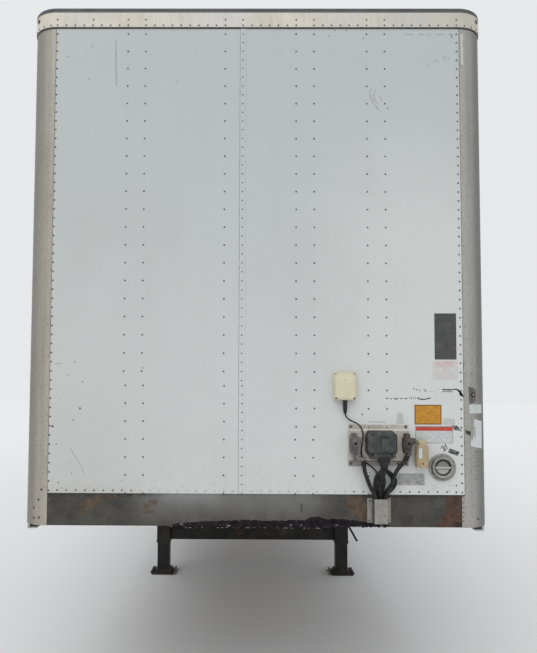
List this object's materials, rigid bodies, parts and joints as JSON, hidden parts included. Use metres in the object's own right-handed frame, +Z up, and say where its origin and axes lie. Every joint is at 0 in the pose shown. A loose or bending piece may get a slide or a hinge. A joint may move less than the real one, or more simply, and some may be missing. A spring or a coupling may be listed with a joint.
{
  "type": "dry van semi trailer",
  "caption": "Enclosed box semi trailer with a riveted front wall, landing gear, swing rear doors and a sliding tandem on dual wheels.",
  "frame": {"origin": "on the ground, under the middle of the whole trailer", "axes": "+Z up; the front wall faces -Y and the rear doors +Y; +X is the roadside, at the right of the picture"},
  "size_m": [2.609, 16.315, 4.123],
  "materials": {
    "white_sheet": "white painted sheet, slightly chalky",
    "corner_aluminium": "mill finish, dull and streaked",
    "cream_rail": "cream paint, faded",
    "roof_sheet": "weathered sheet with a dark rolled edge",
    "sill_steel": "grey paint worn to rust",
    "chassis_steel": "black chassis paint, dusty",
    "bare_steel": "greased steel",
    "rail_aluminium": "mill finish",
    "floor_wood": "laminated hardwood boards",
    "frame_steel": "galvanised and painted",
    "door_sheet": "white painted sheet",
    "galvanised": "galvanised",
    "wheel_steel": "white wheel paint, dusty",
    "tyre_rubber": "tyre rubber",
    "flap_rubber": "black rubber sheet",
    "hose_rubber": "black hose",
    "nose_plate_metal": "dull sheet",
    "nose_box_plastic": "grey green moulding",
    "gladhand_metal": "cast, rusty",
    "sensor_plastic": "cream moulding",
    "tube_plastic": "yellowed moulding",
    "holder_plastic": "grey moulding",
    "lamp_lens": "amber and red lenses"
  },
  "bodies": {
    "van_body": {"air_hose_curb": "hose_rubber", "air_hose_road": "hose_rubber", "body_rails": "chassis_steel", "bottom_rail_curb": "rail_aluminium", "bottom_rail_road": "rail_aluminium", "cable_cover": "galvanised", "corner_post_curb": "corner_aluminium", "corner_post_road": "corner_aluminium", "crossmembers": "chassis_steel", "document_holder": "holder_plastic", "document_tube": "tube_plastic", "floor": "floor_wood", "front_sill": "sill_steel", "front_wall": "white_sheet", "gladhands": "gladhand_metal", "harness_curb": "hose_rubber", "harness_road": "hose_rubber", "kingpin": "bare_steel", "lamps": "lamp_lens", "landing_bracing": "chassis_steel", "landing_leg_curb": "chassis_steel", "landing_leg_road": "chassis_steel", "nose_box": "nose_box_plastic", "nose_plate": "nose_plate_metal", "rear_header": "frame_steel", "rear_post_curb": "frame_steel", "rear_post_road": "frame_steel", "rear_sill": "frame_steel", "roof": "roof_sheet", "sensor_box": "sensor_plastic", "sensor_cable": "hose_rubber", "side_wall_curb": "white_sheet", "side_wall_road": "white_sheet", "top_front_rail": "cream_rail", "top_rail_curb": "rail_aluminium", "top_rail_road": "rail_aluminium", "underride_guard": "chassis_steel", "upper_coupler": "chassis_steel"},
    "tandem": {"bogie_frame": "chassis_steel", "suspension": "chassis_steel", "axle_front": "chassis_steel", "axle_rear": "chassis_steel", "air_tank": "chassis_steel", "mud_flaps": "flap_rubber"},
    "door_road": {"door_road": "door_sheet", "door_gear_road": "galvanised"},
    "door_curb": {"door_curb": "door_sheet", "door_gear_curb": "galvanised"},
    "wheels_front_road": {"wheel_front_road": "wheel_steel", "tyres_front_road": "tyre_rubber"},
    "wheels_front_curb": {"wheel_front_curb": "wheel_steel", "tyres_front_curb": "tyre_rubber"},
    "wheels_rear_road": {"wheel_rear_road": "wheel_steel", "tyres_rear_road": "tyre_rubber"},
    "wheels_rear_curb": {"wheel_rear_curb": "wheel_steel", "tyres_rear_curb": "tyre_rubber"}
  },
  "joints": [
    {"name": "tandem_slide", "type": "slide", "parent": "van_body", "child": "tandem", "axis": [0, 1, 0], "range_m": [-1.2, 1.9]},
    {"name": "door_road_hinge", "type": "hinge", "parent": "van_body", "child": "door_road", "pos_m": [1.2925, 8.1465, 2.6], "axis": [0, 0, -1], "range_deg": [0, 270]},
    {"name": "door_curb_hinge", "type": "hinge", "parent": "van_body", "child": "door_curb", "pos_m": [-1.2925, 8.1465, 2.6], "axis": [0, 0, 1], "range_deg": [0, 270]},
    {"name": "wheels_front_road_spin", "type": "hinge", "parent": "tandem", "child": "wheels_front_road", "pos_m": [0.984, 3.81, 0.505], "axis": [1, 0, 0], "continuous": true},
    {"name": "wheels_front_curb_spin", "type": "hinge", "parent": "tandem", "child": "wheels_front_curb", "pos_m": [-0.984, 3.81, 0.505], "axis": [1, 0, 0], "continuous": true},
    {"name": "wheels_rear_road_spin", "type": "hinge", "parent": "tandem", "child": "wheels_rear_road", "pos_m": [0.984, 5.055, 0.505], "axis": [1, 0, 0], "continuous": true},
    {"name": "wheels_rear_curb_spin", "type": "hinge", "parent": "tandem", "child": "wheels_rear_curb", "pos_m": [-0.984, 5.055, 0.505], "axis": [1, 0, 0], "continuous": true}
  ]
}
